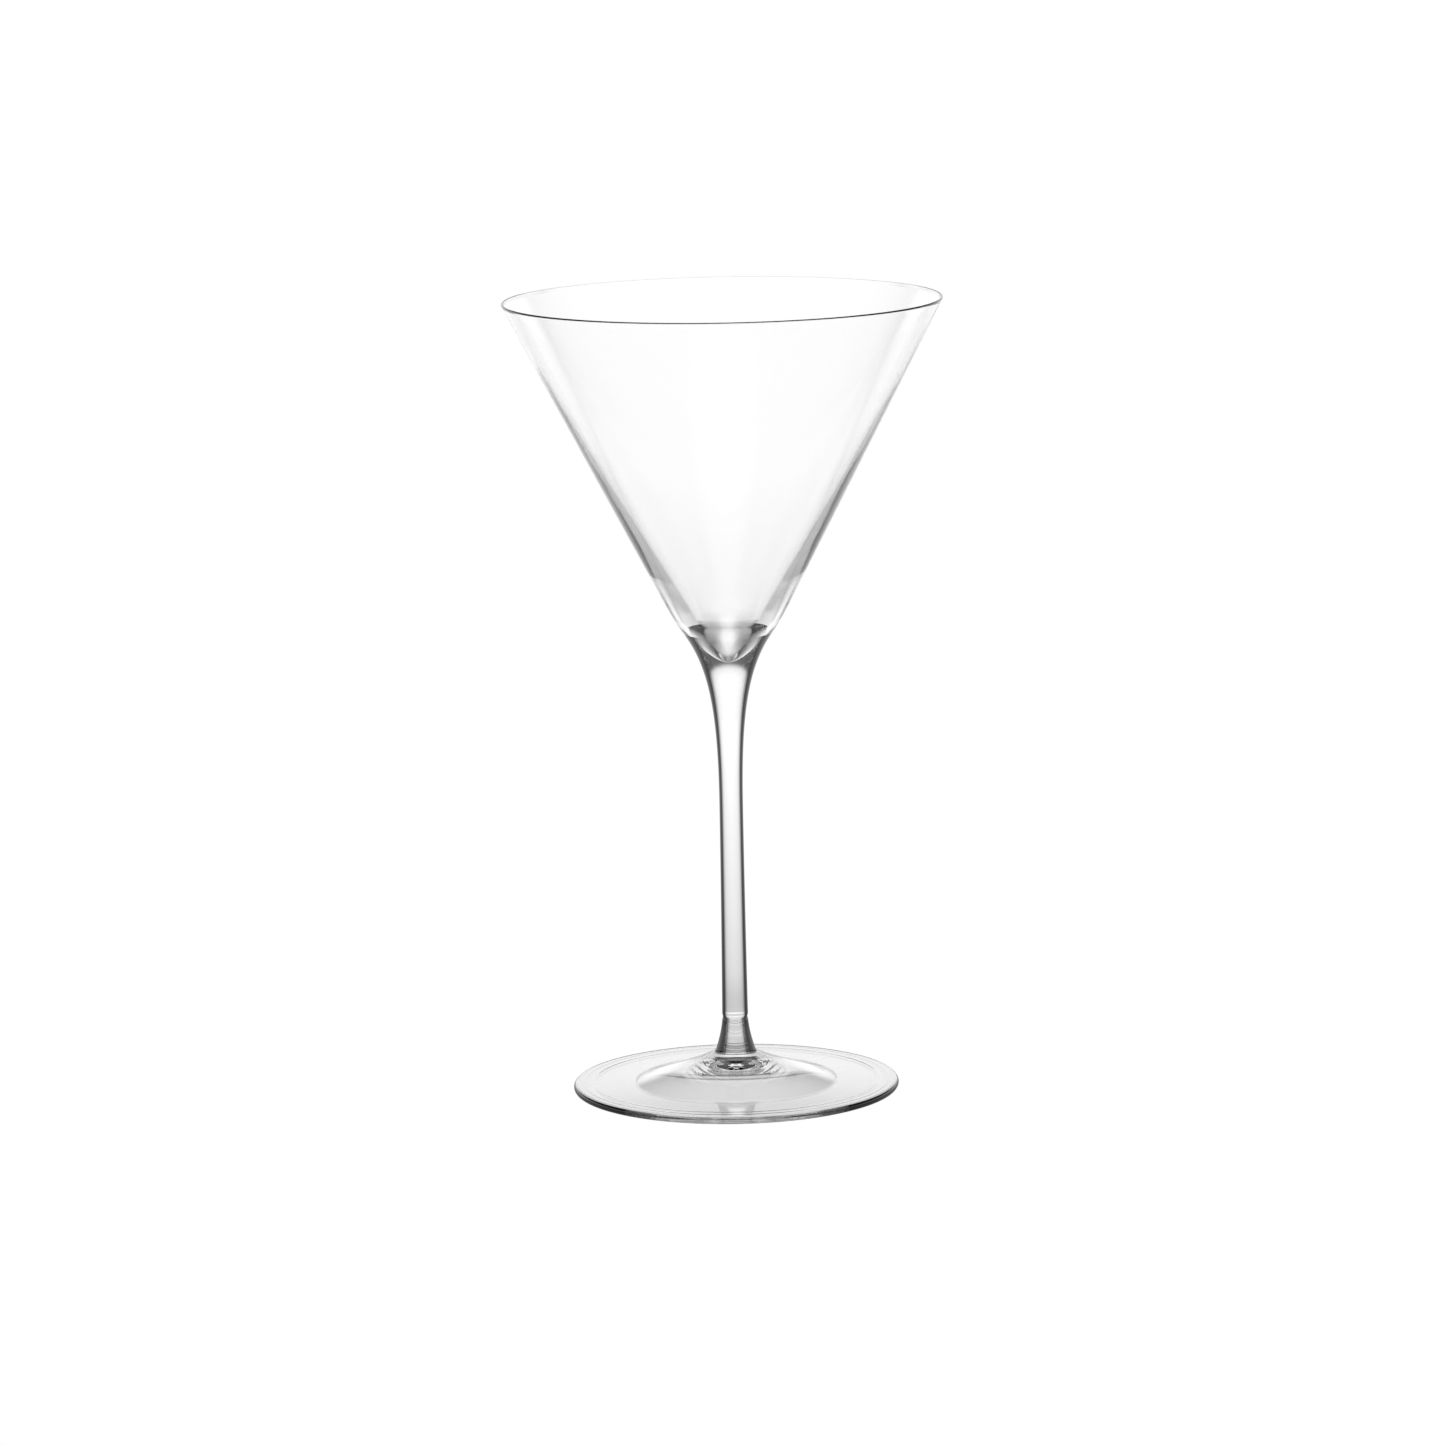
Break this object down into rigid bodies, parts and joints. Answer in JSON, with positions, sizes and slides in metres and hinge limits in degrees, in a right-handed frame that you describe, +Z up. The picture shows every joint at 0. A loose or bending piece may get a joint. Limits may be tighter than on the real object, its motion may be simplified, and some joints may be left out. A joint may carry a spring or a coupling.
{
  "type": "martini glass",
  "caption": "Stemmed cocktail glass: straight-sided thin cone on a slim drawn stem that flares into a gently coned round foot, all in clear colourless glass.",
  "frame": {"origin": "centre of the foot's resting ring, on the table plane", "axes": "+Z up along the glass's axis, from the foot to the rim; the glass is round, so X and Y are free"},
  "size_m": [0.104, 0.104, 0.19],
  "materials": {
    "bowl_glass": "thin blown clear glass, fire-polished and colourless",
    "stem_glass": "solid drawn clear glass with faint lengthwise drawing lines",
    "foot_glass": "spun clear glass with faint concentric tool ripples and a fire-polished edge"
  },
  "bodies": {
    "root": {"bowl": "bowl_glass", "stem": "stem_glass", "foot": "foot_glass"}
  },
  "joints": []
}
